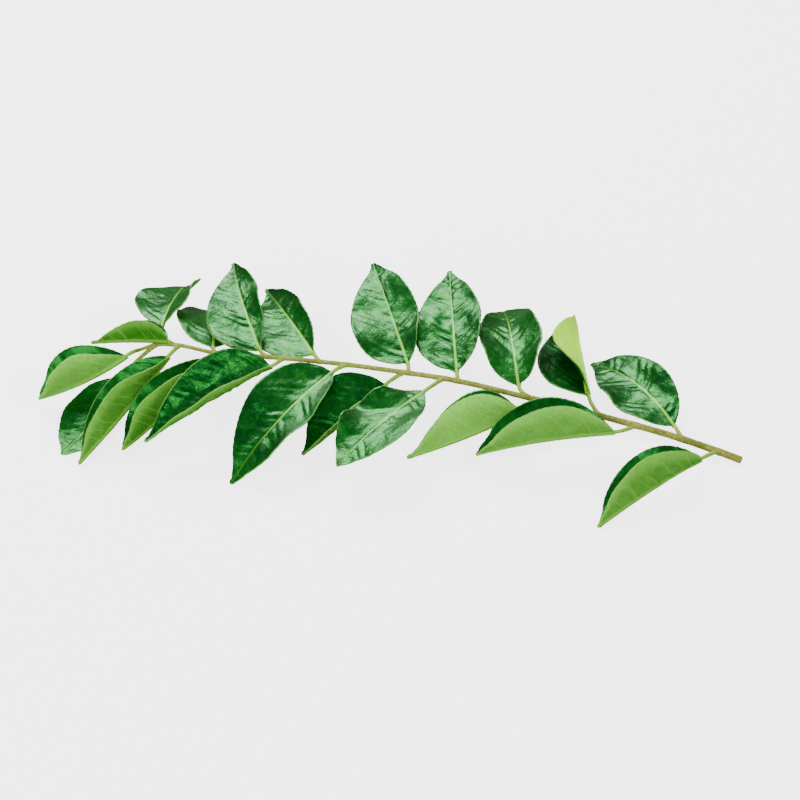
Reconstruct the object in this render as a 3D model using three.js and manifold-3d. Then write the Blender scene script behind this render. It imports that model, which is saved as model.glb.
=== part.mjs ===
// Curry leaf sprig: one compound leaf, as cut from the tree, lying on a flat surface.
// Millimetres, +Z up. +X runs along the stem towards its cut end, and the origin is the middle
// of the sprig's footprint on the surface. The stem and the short stalks that grow out of it are
// one solid, and each leaflet is a thin blade of its own with a rib along its underside.

import * as THREE from "three";
import { mergeVertices } from "three/addons/utils/BufferGeometryUtils.js";
import Module from "manifold-3d";

// Where the sprig's own layout sits in the part's frame.
const footprintMiddle = { x: -3.5, y: 5.7 };

// The stem's centreline, from the cut end to the growing tip.
const stemPath = [
  [95, 5.4, 0.95],
  [87, 6.6, 2.1],
  [77, 7.4, 3.8],
  [59, 7.2, 6.9],
  [36, 6.6, 10.3],
  [15, 6.0, 13.0],
  [-2, 4.4, 14.4],
  [-20, 2.8, 15.2],
  [-40, 0.4, 15.6],
  [-54, -1.2, 15.7],
  [-64, 0.2, 15.3],
  [-71, 0.2, 14.2],
  [-76, -1.6, 12.6],
];
const stem = { cutRadius: 1.05, tipRadius: 0.5, taperPower: 0.8, sides: 8, steps: 64 };
const swelling = { height: 0.22, reach: 1.6 }; // where a stalk leaves the stem
const stalk = { rootRadius: 0.72, endRadius: 0.52, turnShare: 0.45, sides: 6, steps: 4 };
const jointGap = 0.3; // between a stalk's end and its leaflet

// What all blades share: the sheet and its rib, the cells they are drawn in and the steps that
// their rib is summed in, the outline's law, how the rib and the fold ease off, and the ripple.
const blade = { thickness: 0.7, stalkHalfWidth: 0.6, tipHalfWidth: 0.45 };
const rib = { depth: 0.45, tipShare: 0.3, steps: 24 };
const bladeCells = { along: 12, across: 6, crowding: 0.6 };
const outline = { fullness: 1.7, obliqueShift: 0.8 };
const bend = { power: 1.35, foldEase: 0.3 };
const ripple = { turns: 2.3, power: 1.6, rightShift: 1.7 };
const surface = { softness: 1.2 }; // how gently a blade comes down on the surface
const leastCurl = 1e-6; // keeps the arc of a flat half from dividing by nothing

// One row for each leaflet. stemX is where its stalk leaves the stem and base is where its blade
// starts. heading is its compass direction from +X, rise its slope at the base, droop how far it
// bends down by the tip and sway how far it turns to its left. roll lifts its left side and twist
// adds roll by the tip. fold raises the left and the right half from the rib, and cup curls their
// margins on. belly is how far along the blade is widest, oblique is the share by which its left
// half is the wider, and wave is the height of each margin's ripple. Angles are in degrees.
const leaflets = [
  {
    name: "leaflet_front_01", stemX: 88, base: [84, 0.6, 2.9],
    length: 39, width: 19.5, belly: 0.43, oblique: 0,
    heading: 235, sway: 0, rise: 2, droop: 12, roll: 0, twist: 58,
    fold: [62, 62], cup: [28, 4], wave: [0.4, 0.4], phase: 0.4,
  },
  {
    name: "leaflet_front_02", stemX: 65, base: [59.8, 3.4, 5.6],
    length: 39, width: 23, belly: 0.48, oblique: 0,
    heading: 206, sway: 0, rise: 4, droop: 14, roll: 20, twist: 0,
    fold: [56, 56], cup: [24, 24], wave: [0.4, 0.4], phase: 1.4,
  },
  {
    name: "leaflet_front_03", stemX: 38, base: [33.6, 1.8, 8.6],
    length: 34, width: 23, belly: 0.33, oblique: 0,
    heading: 216, sway: 0, rise: -14, droop: -10, roll: 16, twist: 44,
    fold: [58, 56], cup: [26, 4], wave: [0.4, 0.4], phase: 2.2,
  },
  {
    name: "leaflet_front_04", stemX: 11, base: [7.2, -1.6, 13.6],
    length: 36, width: 19.9, belly: 0.5, oblique: -0.05,
    heading: 243, sway: 0, rise: 0, droop: 16, roll: 0, twist: 0,
    fold: [12, 6], cup: [4, 4], wave: [0.4, 2.8], phase: 1.4,
  },
  {
    name: "leaflet_front_05", stemX: 0, base: [-4.5, 1.8, 11.2],
    length: 31, width: 19, belly: 0.45, oblique: -0.25,
    heading: 233, sway: 0, rise: -22, droop: -8, roll: 14, twist: 0,
    fold: [42, 40], cup: [8, 8], wave: [0.4, 0.4], phase: 1.2,
  },
  {
    name: "leaflet_front_06", stemX: -16, base: [-19.2, -0.6, 14.6],
    length: 44, width: 20.8, belly: 0.42, oblique: -0.17,
    heading: 243, sway: 0, rise: -8, droop: 27, roll: 0, twist: 0,
    fold: [17, 22], cup: [6, 6], wave: [0.6, 0.6], phase: 2.6,
  },
  {
    name: "leaflet_front_07", stemX: -34, base: [-36.4, -2.4, 14.8],
    length: 42, width: 19, belly: 0.42, oblique: -0.16,
    heading: 231, sway: 0, rise: -4, droop: 12, roll: 0, twist: 0,
    fold: [15, 38], cup: [80, 22], wave: [0.3, 0.4], phase: 0.8,
  },
  {
    name: "leaflet_front_08", stemX: -52, base: [-54.5, -2.6, 14.6],
    length: 36.5, width: 18.2, belly: 0.5, oblique: 0,
    heading: 243, sway: 0, rise: -31, droop: -28, roll: 0, twist: 58,
    fold: [56, 60], cup: [18, 14], wave: [0.5, 0.5], phase: 1.8,
  },
  {
    name: "leaflet_front_09", stemX: -64, base: [-66.2, -3.6, 13.6],
    length: 41, width: 17.6, belly: 0.45, oblique: 0,
    heading: 249, sway: 0, rise: -21, droop: -8, roll: 0, twist: 68,
    fold: [56, 60], cup: [20, 10], wave: [0.5, 0.5], phase: 0.5,
  },
  {
    name: "leaflet_front_10", stemX: -71, base: [-79.2, -6.6, 6.2],
    length: 32, width: 16, belly: 0.5, oblique: -0.12,
    heading: 256, sway: 0, rise: -16, droop: 0, roll: 0, twist: 0,
    fold: [2, 6], cup: [0, 6], wave: [0.5, 0.7], phase: 2.0,
  },
  {
    name: "leaflet_end", stemX: -76, base: [-77.4, -6.8, 14.2],
    length: 28.5, width: 21, belly: 0.54, oblique: 0,
    heading: 202, sway: 0, rise: -36, droop: -24, roll: 30, twist: -24,
    fold: [52, 66], cup: [24, 6], wave: [0.5, 0.5], phase: 1.1,
  },
  {
    name: "leaflet_back_01", stemX: 78, base: [75.2, 11.8, 4.2],
    length: 40, width: 19.4, belly: 0.45, oblique: 0.09,
    heading: 127, sway: 20, rise: 4, droop: 24, roll: -8, twist: 0,
    fold: [8, 28], cup: [6, -6], wave: [0.6, 0.6], phase: 0.3,
  },
  {
    name: "leaflet_back_02", stemX: 55, base: [50.5, 14.2, 8.6],
    length: 38.5, width: 25.5, belly: 0.34, oblique: 0.06,
    heading: 105, sway: 3, rise: 2, droop: 8, roll: 0, twist: 0,
    fold: [2, 140], cup: [10, 0], wave: [0.4, 0.2], phase: 1.5,
  },
  {
    name: "leaflet_back_03", stemX: 38, base: [31.4, 10.2, 11.4],
    length: 42.5, width: 19, belly: 0.38, oblique: 0,
    heading: 108, sway: 0, rise: 14, droop: 48, roll: -14, twist: 8,
    fold: [24, 24], cup: [6, 6], wave: [0.7, 0.7], phase: 2.1,
  },
  {
    name: "leaflet_back_04", stemX: 15, base: [13.9, 9.6, 13.4],
    length: 41, width: 19.8, belly: 0.4, oblique: 0.13,
    heading: 106, sway: 0, rise: 10, droop: 4, roll: -12, twist: 0,
    fold: [12, 14], cup: [4, 4], wave: [0.7, 0.7], phase: 0.9,
  },
  {
    name: "leaflet_back_05", stemX: 1, base: [0.1, 8.6, 14.4],
    length: 42, width: 20.4, belly: 0.42, oblique: 0.22,
    heading: 118, sway: 0, rise: 10, droop: 4, roll: -14, twist: 0,
    fold: [14, 14], cup: [4, 4], wave: [0.7, 0.7], phase: 1.6,
  },
  {
    name: "leaflet_back_06", stemX: -24, base: [-26.4, 5.8, 15.2],
    length: 38, width: 19, belly: 0.42, oblique: 0.36,
    heading: 127, sway: 0, rise: -2, droop: 6, roll: -24, twist: 0,
    fold: [22, 20], cup: [4, 4], wave: [0.6, 0.6], phase: 2.8,
  },
  {
    name: "leaflet_back_07", stemX: -38, base: [-41.2, 3.0, 15.8],
    length: 40, width: 17.4, belly: 0.42, oblique: 0.36,
    heading: 122, sway: -10, rise: 8, droop: 10, roll: -18, twist: 0,
    fold: [20, 16], cup: [4, 4], wave: [0.7, 0.7], phase: 0.1,
  },
  {
    name: "leaflet_back_08", stemX: -53, base: [-54.6, 1.8, 15.0],
    length: 44, width: 22, belly: 0.42, oblique: 0,
    heading: 107, sway: 0, rise: -4, droop: 48, roll: 2, twist: 0,
    fold: [4, 8], cup: [12, 0], wave: [0.6, 0.4], phase: 1.3,
  },
  {
    name: "leaflet_back_09", stemX: -66, base: [-72, 8.2, 14.8],
    length: 28, width: 20, belly: 0.52, oblique: 0.14,
    heading: 93, sway: 0, rise: -2, droop: 20, roll: -14, twist: 0,
    fold: [18, 28], cup: [6, 10], wave: [0.6, 0.6], phase: 2.4,
  },
  {
    name: "leaflet_back_10", stemX: -67, base: [-67.4, 0.2, 16.3],
    length: 22, width: 13, belly: 0.3, oblique: 0,
    heading: 188, sway: 0, rise: -2, droop: 10, roll: 36, twist: 0,
    fold: [50, 50], cup: [20, 20], wave: [0.3, 0.3], phase: 0.6,
  },
];

const barkMaterial = new THREE.MeshStandardMaterial({ color: "#9c8f4d", roughness: 0.75, metalness: 0 });
const leafMaterial = new THREE.MeshStandardMaterial({ color: "#2c6a2a", roughness: 0.4, metalness: 0 });

const up = new THREE.Vector3(0, 0, 1);
const radians = THREE.MathUtils.degToRad;

// One half's outline, as a share of its full width. The wider half is also the fuller at its base.
function outlineAt(leaflet, share, side) {
  const widest = leaflet.belly * (1 - outline.obliqueShift * leaflet.oblique * side);
  const rise = (share / widest) ** (outline.fullness * widest);
  const fall = ((1 - share) / (1 - widest)) ** (outline.fullness * (1 - widest));
  return rise * fall;
}

function halfWidthAt(leaflet, share, side) {
  const least = THREE.MathUtils.lerp(blade.stalkHalfWidth, blade.tipHalfWidth, share);
  const most = (leaflet.width / 2) * (1 + leaflet.oblique * side);
  return Math.max(least, most * outlineAt(leaflet, share, side));
}

function directionOf(heading, pitch) {
  const flat = Math.cos(radians(pitch));
  return new THREE.Vector3(
    flat * Math.cos(radians(heading)),
    flat * Math.sin(radians(heading)),
    Math.sin(radians(pitch)),
  );
}

// The rib's direction at a share of the length.
function ribDirection(leaflet, share) {
  const bent = share ** bend.power;
  return directionOf(leaflet.heading + leaflet.sway * bent, leaflet.rise - leaflet.droop * bent);
}

// The rib's point at a share of the length: the base, and then short steps along the direction.
function ribPoint(leaflet, share) {
  const point = new THREE.Vector3(...leaflet.base);
  for (let i = 0; i < rib.steps; i++) {
    const middle = (share * (i + 0.5)) / rib.steps;
    point.addScaledVector(ribDirection(leaflet, middle), (leaflet.length * share) / rib.steps);
  }
  return point;
}

// Keeps the middle of the sheet at or above the height where its underside meets the surface.
function liftOntoSurface(point) {
  const floor = blade.thickness / 2;
  const k = surface.softness;
  const over = point.z - floor;
  if (over < -k) point.z = floor;
  else if (over < k) point.z = floor + (over + k) ** 2 / (4 * k);
  return point;
}

// A point on the middle of the sheet: share runs from base to tip, across from -1 (right) to 1.
function sheetPoint(leaflet, share, across) {
  const along = ribDirection(leaflet, share);
  const left = new THREE.Vector3().crossVectors(up, along).normalize();
  const top = new THREE.Vector3().crossVectors(along, left);
  const roll = radians(leaflet.roll + leaflet.twist * share);
  left.applyAxisAngle(along, roll);
  top.applyAxisAngle(along, roll);

  const side = across < 0 ? -1 : 1;
  const half = side > 0 ? 0 : 1;
  const halfWidth = halfWidthAt(leaflet, share, side);
  const reach = Math.abs(across);
  const ease = 1 - bend.foldEase * (2 * share - 1) ** 2;
  const fold = radians(leaflet.fold[half]) * ease;
  const curl = radians(leaflet.cup[half]) || leastCurl;
  const outer = fold + curl * reach;
  const sideways = (halfWidth * (Math.sin(outer) - Math.sin(fold))) / curl;
  const upwards = (halfWidth * (Math.cos(fold) - Math.cos(outer))) / curl;

  const turn = 2 * Math.PI * ripple.turns * share + 2 * leaflet.phase;
  const height =
    leaflet.wave[half] *
    (reach * outlineAt(leaflet, share, side)) ** ripple.power *
    Math.sin(turn + half * ripple.rightShift);

  const point = ribPoint(leaflet, share);
  point.addScaledVector(left, side * (sideways - height * Math.sin(outer)));
  point.addScaledVector(top, upwards + height * Math.cos(outer));
  return liftOntoSurface(point);
}

// Stations along the blade, closer together where the outline turns at the base and the tip.
function stationShare(step) {
  const even = step / bladeCells.along;
  return THREE.MathUtils.lerp(even, (1 - Math.cos(Math.PI * even)) / 2, bladeCells.crowding);
}

// The blade as one closed sheet: an upper and a lower face split alike, and a rim between them.
function bladeGeometry(leaflet) {
  const { along, across } = bladeCells;
  const columns = across + 1;
  const middle = [];
  for (let i = 0; i <= along; i++) {
    for (let j = 0; j <= across; j++) {
      middle.push(sheetPoint(leaflet, stationShare(i), (2 * j) / across - 1));
    }
  }
  const at = (i, j) =>
    middle[THREE.MathUtils.clamp(i, 0, along) * columns + THREE.MathUtils.clamp(j, 0, across)];
  const upper = [];
  const lower = [];
  for (let i = 0; i <= along; i++) {
    const ribDepth = rib.depth * THREE.MathUtils.lerp(1, rib.tipShare, stationShare(i));
    for (let j = 0; j <= across; j++) {
      const lengthwise = at(i + 1, j).clone().sub(at(i - 1, j));
      const crosswise = at(i, j + 1).clone().sub(at(i, j - 1));
      const normal = lengthwise.cross(crosswise).normalize();
      const under = blade.thickness / 2 + (2 * j === across ? ribDepth : 0);
      upper.push(at(i, j).clone().addScaledVector(normal, blade.thickness / 2));
      lower.push(at(i, j).clone().addScaledVector(normal, -under));
    }
  }
  for (const point of lower) point.z = Math.max(point.z, 0);

  const lowerStart = upper.length;
  const triangles = [];
  const quad = (a, b, c, d) => triangles.push(a, b, c, a, c, d);
  for (let i = 0; i < along; i++) {
    for (let j = 0; j < across; j++) {
      const a = i * columns + j;
      quad(a, a + columns, a + columns + 1, a + 1);
      quad(lowerStart + a, lowerStart + a + 1, lowerStart + a + columns + 1, lowerStart + a + columns);
    }
  }
  // The rim, walked once round the sheet's edge.
  const edge = [];
  for (let j = 0; j < across; j++) edge.push(j);
  for (let i = 0; i < along; i++) edge.push(i * columns + across);
  for (let j = across; j > 0; j--) edge.push(along * columns + j);
  for (let i = along; i > 0; i--) edge.push(i * columns);
  edge.forEach((from, k) => {
    const to = edge[(k + 1) % edge.length];
    quad(from, to, lowerStart + to, lowerStart + from);
  });

  const geometry = new THREE.BufferGeometry().setFromPoints([...upper, ...lower]);
  geometry.setIndex(triangles);
  geometry.computeVertexNormals();
  return geometry;
}

// A closed round bar along a curve, with its radius given at each share of the curve.
function barGeometry(curve, steps, sides, radiusAt) {
  const frames = curve.computeFrenetFrames(steps, false);
  const points = [];
  for (let i = 0; i <= steps; i++) {
    const radius = radiusAt(i / steps);
    for (let j = 0; j < sides; j++) {
      const angle = (2 * Math.PI * j) / sides;
      const point = curve.getPointAt(i / steps);
      point.addScaledVector(frames.normals[i], radius * Math.cos(angle));
      point.addScaledVector(frames.binormals[i], radius * Math.sin(angle));
      points.push(point);
    }
  }
  const triangles = [];
  for (let i = 0; i < steps; i++) {
    for (let j = 0; j < sides; j++) {
      const a = i * sides + j;
      const b = i * sides + ((j + 1) % sides);
      triangles.push(a, b, b + sides, a, b + sides, a + sides);
    }
  }
  const lastRing = steps * sides;
  for (let j = 1; j < sides - 1; j++) {
    triangles.push(0, j + 1, j);
    triangles.push(lastRing, lastRing + j, lastRing + j + 1);
  }
  for (const point of points) point.z = Math.max(point.z, 0);
  const geometry = new THREE.BufferGeometry().setFromPoints(points);
  geometry.setIndex(triangles);
  return geometry;
}

const stemCurve = new THREE.CatmullRomCurve3(stemPath.map((p) => new THREE.Vector3(...p)));
const stemLength = stemCurve.getLength();

// The share of the stem's length at which it has a given x, found by halving.
function stemShareAt(x) {
  const halvings = 30;
  let low = 0;
  let high = 1;
  for (let i = 0; i < halvings; i++) {
    const share = (low + high) / 2;
    if (stemCurve.getPointAt(share).x > x) low = share;
    else high = share;
  }
  return low;
}

function stemRadiusAt(share) {
  const bare = THREE.MathUtils.lerp(stem.cutRadius, stem.tipRadius, share ** stem.taperPower);
  const nearest = Math.min(
    ...leaflets.map((leaflet) => Math.abs(share - stemShareAt(leaflet.stemX)) * stemLength),
  );
  return bare + swelling.height * Math.exp(-((nearest / swelling.reach) ** 2));
}

// A stalk leaves the stem's centreline and turns into its leaflet's rib.
function stalkCurve(leaflet) {
  const root = stemCurve.getPointAt(stemShareAt(leaflet.stemX));
  const end = new THREE.Vector3(...leaflet.base);
  const into = ribDirection(leaflet, 0);
  const turn = end.clone().addScaledVector(into, -stalk.turnShare * root.distanceTo(end));
  end.addScaledVector(into, -jointGap);
  return new THREE.QuadraticBezierCurve3(root, turn, end);
}

function stalkGeometry(leaflet) {
  const radiusAt = (share) => THREE.MathUtils.lerp(stalk.rootRadius, stalk.endRadius, share);
  return barGeometry(stalkCurve(leaflet), stalk.steps, stalk.sides, radiusAt);
}

const wasm = await Module();
wasm.setup();

function solidFrom(geometry) {
  const merged = mergeVertices(geometry);
  return new wasm.Manifold(
    new wasm.Mesh({
      numProp: 3,
      vertProperties: merged.attributes.position.array,
      triVerts: new Uint32Array(merged.index.array),
    }),
  );
}

function geometryFrom(solid) {
  const { vertProperties, triVerts } = solid.getMesh();
  const geometry = new THREE.BufferGeometry();
  geometry.setAttribute("position", new THREE.BufferAttribute(vertProperties, 3));
  geometry.setIndex(new THREE.BufferAttribute(triVerts, 1));
  geometry.computeVertexNormals();
  return geometry;
}

// The stem and every stalk, fused into one body.
function stemGeometry() {
  let solid = solidFrom(barGeometry(stemCurve, stem.steps, stem.sides, stemRadiusAt));
  for (const leaflet of leaflets) solid = solid.add(solidFrom(stalkGeometry(leaflet)));
  return geometryFrom(solid);
}

function namedMesh(name, geometry, material) {
  const mesh = new THREE.Mesh(geometry, material);
  mesh.name = name;
  return mesh;
}

const sprig = new THREE.Group();
sprig.name = "curry_leaf_sprig";
sprig.position.set(-footprintMiddle.x, -footprintMiddle.y, 0);
sprig.add(namedMesh("stem", stemGeometry(), barkMaterial));
for (const leaflet of leaflets) {
  sprig.add(namedMesh(leaflet.name, bladeGeometry(leaflet), leafMaterial));
}

export default sprig;
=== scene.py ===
from math import cos, exp, pi, radians, sin, sqrt, tan
import bmesh
import bpy
from mathutils import Matrix, Vector, noise


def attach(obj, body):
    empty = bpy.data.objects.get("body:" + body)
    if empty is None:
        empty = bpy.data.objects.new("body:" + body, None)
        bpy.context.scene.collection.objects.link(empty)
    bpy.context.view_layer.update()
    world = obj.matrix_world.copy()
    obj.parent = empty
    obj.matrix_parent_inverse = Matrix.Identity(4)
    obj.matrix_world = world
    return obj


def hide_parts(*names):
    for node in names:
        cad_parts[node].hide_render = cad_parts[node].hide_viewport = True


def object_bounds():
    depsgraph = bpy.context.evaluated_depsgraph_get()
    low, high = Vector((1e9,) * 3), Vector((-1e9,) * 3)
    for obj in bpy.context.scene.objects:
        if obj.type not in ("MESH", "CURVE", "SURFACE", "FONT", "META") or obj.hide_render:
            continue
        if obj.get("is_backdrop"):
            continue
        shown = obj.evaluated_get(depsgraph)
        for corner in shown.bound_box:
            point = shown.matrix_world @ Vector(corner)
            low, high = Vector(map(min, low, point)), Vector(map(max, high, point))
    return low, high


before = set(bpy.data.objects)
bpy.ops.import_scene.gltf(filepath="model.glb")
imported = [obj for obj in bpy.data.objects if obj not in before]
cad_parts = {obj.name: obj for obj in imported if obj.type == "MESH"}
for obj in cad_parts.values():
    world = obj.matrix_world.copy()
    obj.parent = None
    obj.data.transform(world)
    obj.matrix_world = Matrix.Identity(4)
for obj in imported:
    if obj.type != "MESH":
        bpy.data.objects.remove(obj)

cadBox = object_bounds()
print("frame loaded:", len(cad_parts), "nodes")

mm = 0.001  # every size below is in millimetres, and every mesh in metres
footprintMiddle = (-3.5, 5.7)  # where the sprig's own layout sits in the part's frame

# One row for each leaflet, with angles in degrees and pairs for its left and right half.
# stemX and base: where its stalk leaves the stem and where its blade starts, in the sprig's layout.
# belly and oblique: how far along it is widest, and how much fuller its left half is, as shares.
# heading and rise: which way its rib sets out. sway and droop: how far that turns by the tip.
# roll and twist: how far the left side is lifted, and how much more of that there is at the tip.
# fold and cup: how far each half rises from the rib, and how far its margin curls on.
# wave: how high its margins ripple. phase: what makes its ripples, veins and puckers its own.
# quilt: how strongly the surface swells between its side veins.
# pale: how pale its underside is, up to 1, and yellower from there to 1.5; partly its own tone and partly
# painted light, where the underside is lit through or lit from the front.
# last in each row: how light a green its top is, partly its own tone and partly painted light and shade,
# set leaflet by leaflet.
leaflets = {
    "leaflet_front_01": dict(
        stemX=88, base=(84, 0.6, 2.9), length=39, width=19.5, belly=0.43, oblique=0,
        heading=235, sway=0, rise=2, droop=12, roll=0, twist=58,
        fold=(62, 62), cup=(28, 4), wave=(0.4, 0.4), phase=0.4,
        quilt=0.5, pale=0.15, paintedLightAndTone=0.3),
    "leaflet_front_02": dict(
        stemX=65, base=(59.8, 3.4, 5.6), length=39, width=23, belly=0.48, oblique=0,
        heading=206, sway=0, rise=4, droop=14, roll=20, twist=0,
        fold=(56, 56), cup=(24, 24), wave=(0.4, 0.4), phase=1.4,
        quilt=0.5, pale=0.32, paintedLightAndTone=0.3),
    "leaflet_front_03": dict(
        stemX=38, base=(33.6, 1.8, 8.6), length=34, width=23, belly=0.33, oblique=0,
        heading=216, sway=0, rise=-14, droop=-10, roll=16, twist=44,
        fold=(58, 56), cup=(26, 4), wave=(0.4, 0.4), phase=2.2,
        quilt=0.5, pale=0.47, paintedLightAndTone=0.3),
    "leaflet_front_04": dict(
        stemX=11, base=(7.2, -1.6, 13.6), length=36, width=19.9, belly=0.5, oblique=-0.05,
        heading=243, sway=0, rise=0, droop=16, roll=0, twist=0,
        fold=(12, 6), cup=(4, 4), wave=(0.4, 2.8), phase=1.4,
        quilt=0.7, pale=0.2, paintedLightAndTone=0.5),
    "leaflet_front_05": dict(
        stemX=0, base=(-4.5, 1.8, 11.2), length=31, width=19, belly=0.45, oblique=-0.25,
        heading=233, sway=0, rise=-22, droop=-8, roll=14, twist=0,
        fold=(42, 40), cup=(8, 8), wave=(0.4, 0.4), phase=1.2,
        quilt=1.3, pale=0.2, paintedLightAndTone=0.0),
    "leaflet_front_06": dict(
        stemX=-16, base=(-19.2, -0.6, 14.6), length=44, width=20.8, belly=0.42, oblique=-0.17,
        heading=243, sway=0, rise=-8, droop=27, roll=0, twist=0,
        fold=(17, 22), cup=(6, 6), wave=(0.6, 0.6), phase=2.6,
        quilt=0.9, pale=0.2, paintedLightAndTone=0.0),
    "leaflet_front_07": dict(
        stemX=-34, base=(-36.4, -2.4, 14.8), length=42, width=19, belly=0.42, oblique=-0.16,
        heading=231, sway=0, rise=-4, droop=12, roll=0, twist=0,
        fold=(15, 38), cup=(80, 22), wave=(0.3, 0.4), phase=0.8,
        quilt=0.7, pale=0.0, paintedLightAndTone=0.0),
    "leaflet_front_08": dict(
        stemX=-52, base=(-54.5, -2.6, 14.6), length=36.5, width=18.2, belly=0.5, oblique=0,
        heading=243, sway=0, rise=-31, droop=-28, roll=0, twist=58,
        fold=(56, 60), cup=(18, 14), wave=(0.5, 0.5), phase=1.8,
        quilt=0.5, pale=0.06, paintedLightAndTone=0.3),
    "leaflet_front_09": dict(
        stemX=-64, base=(-66.2, -3.6, 13.6), length=41, width=17.6, belly=0.45, oblique=0,
        heading=249, sway=0, rise=-21, droop=-8, roll=0, twist=68,
        fold=(56, 60), cup=(20, 10), wave=(0.5, 0.5), phase=0.5,
        quilt=0.5, pale=0.13, paintedLightAndTone=0.3),
    "leaflet_front_10": dict(
        stemX=-71, base=(-79.2, -6.6, 6.2), length=32, width=16, belly=0.5, oblique=-0.12,
        heading=256, sway=0, rise=-16, droop=0, roll=0, twist=0,
        fold=(2, 6), cup=(0, 6), wave=(0.5, 0.7), phase=2.0,
        quilt=0.4, pale=0.25, paintedLightAndTone=0.3),
    "leaflet_end": dict(
        stemX=-76, base=(-77.4, -6.8, 14.2), length=28.5, width=21, belly=0.54, oblique=0,
        heading=202, sway=0, rise=-36, droop=-24, roll=30, twist=-24,
        fold=(52, 66), cup=(24, 6), wave=(0.5, 0.5), phase=1.1,
        quilt=0.5, pale=0.42, paintedLightAndTone=0.3),
    "leaflet_back_01": dict(
        stemX=78, base=(75.2, 11.8, 4.2), length=40, width=19.4, belly=0.45, oblique=0.09,
        heading=127, sway=20, rise=4, droop=24, roll=-8, twist=0,
        fold=(8, 28), cup=(6, -6), wave=(0.6, 0.6), phase=0.3,
        quilt=1.0, pale=0.2, paintedLightAndTone=0.1),
    "leaflet_back_02": dict(
        stemX=55, base=(50.5, 14.2, 8.6), length=38.5, width=25.5, belly=0.34, oblique=0.06,
        heading=105, sway=3, rise=2, droop=8, roll=0, twist=0,
        fold=(2, 140), cup=(10, 0), wave=(0.4, 0.2), phase=1.5,
        quilt=0.9, pale=1.5, paintedLightAndTone=0.1),
    "leaflet_back_03": dict(
        stemX=38, base=(31.4, 10.2, 11.4), length=42.5, width=19, belly=0.38, oblique=0,
        heading=108, sway=0, rise=14, droop=48, roll=-14, twist=8,
        fold=(24, 24), cup=(6, 6), wave=(0.7, 0.7), phase=2.1,
        quilt=0.9, pale=0.2, paintedLightAndTone=0.6),
    "leaflet_back_04": dict(
        stemX=15, base=(13.9, 9.6, 13.4), length=41, width=19.8, belly=0.4, oblique=0.13,
        heading=106, sway=0, rise=10, droop=4, roll=-12, twist=0,
        fold=(12, 14), cup=(4, 4), wave=(0.7, 0.7), phase=0.9,
        quilt=1.1, pale=0.2, paintedLightAndTone=0.3),
    "leaflet_back_05": dict(
        stemX=1, base=(0.1, 8.6, 14.4), length=42, width=20.4, belly=0.42, oblique=0.22,
        heading=118, sway=0, rise=10, droop=4, roll=-14, twist=0,
        fold=(14, 14), cup=(4, 4), wave=(0.7, 0.7), phase=1.6,
        quilt=0.8, pale=0.2, paintedLightAndTone=0.3),
    "leaflet_back_06": dict(
        stemX=-24, base=(-26.4, 5.8, 15.2), length=38, width=19, belly=0.42, oblique=0.36,
        heading=127, sway=0, rise=-2, droop=6, roll=-24, twist=0,
        fold=(22, 20), cup=(4, 4), wave=(0.6, 0.6), phase=2.8,
        quilt=0.7, pale=0.2, paintedLightAndTone=0.1),
    "leaflet_back_07": dict(
        stemX=-38, base=(-41.2, 3.0, 15.8), length=40, width=17.4, belly=0.42, oblique=0.36,
        heading=122, sway=-10, rise=8, droop=10, roll=-18, twist=0,
        fold=(20, 16), cup=(4, 4), wave=(0.7, 0.7), phase=0.1,
        quilt=0.9, pale=0.2, paintedLightAndTone=0.3),
    "leaflet_back_08": dict(
        stemX=-53, base=(-54.6, 1.8, 15.0), length=44, width=22, belly=0.42, oblique=0,
        heading=107, sway=0, rise=-4, droop=48, roll=2, twist=0,
        fold=(4, 8), cup=(12, 0), wave=(0.6, 0.4), phase=1.3,
        quilt=0.3, pale=0.2, paintedLightAndTone=0.8),
    "leaflet_back_09": dict(
        stemX=-66, base=(-72, 8.2, 14.8), length=28, width=20, belly=0.52, oblique=0.14,
        heading=93, sway=0, rise=-2, droop=20, roll=-14, twist=0,
        fold=(18, 28), cup=(6, 10), wave=(0.6, 0.6), phase=2.4,
        quilt=0.5, pale=0.2, paintedLightAndTone=0.6),
    "leaflet_back_10": dict(
        stemX=-67, base=(-67.4, 0.2, 16.3), length=22, width=13, belly=0.3, oblique=0,
        heading=188, sway=0, rise=-2, droop=10, roll=36, twist=0,
        fold=(50, 50), cup=(20, 20), wave=(0.3, 0.3), phase=0.6,
        quilt=0.5, pale=0.0, paintedLightAndTone=0.3),
}

# What every blade shares: the outline's law, how the rib and the fold ease off, the ripple of the
# margins, the round valley along the rib of an open blade, and how gently it comes down on the surface.
bladeForm = {
    "thickness": 0.36, "ribThickness": 0.95, "ribWidth": 0.5,
    "ribThinning": 0.75, "veinThickness": 0.1,  # shares of how much the rib adds
    "fullness": 1.7, "obliqueShift": 0.8,
    "stalkHalfWidth": 0.6, "tipHalfWidth": 1.0, "leastHalfWidth": 0.02, "endPower": 8,
    "tipPinch": 0.16, "pinchAt": 0.91, "pinchReach": 0.06,  # where the blade draws in to its tip
    "bendPower": 1.35, "bendSteps": 24, "foldEase": 0.3, "softness": 1.2,
    "rippleTurns": 2.3, "ripplePhase": 2, "ripplePower": 1.6, "rippleRightShift": 1.7,
    "openFold": 50, "creasedFold": 75, "valleyReach": 5.0, "valleyShare": 0.75,
}
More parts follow.
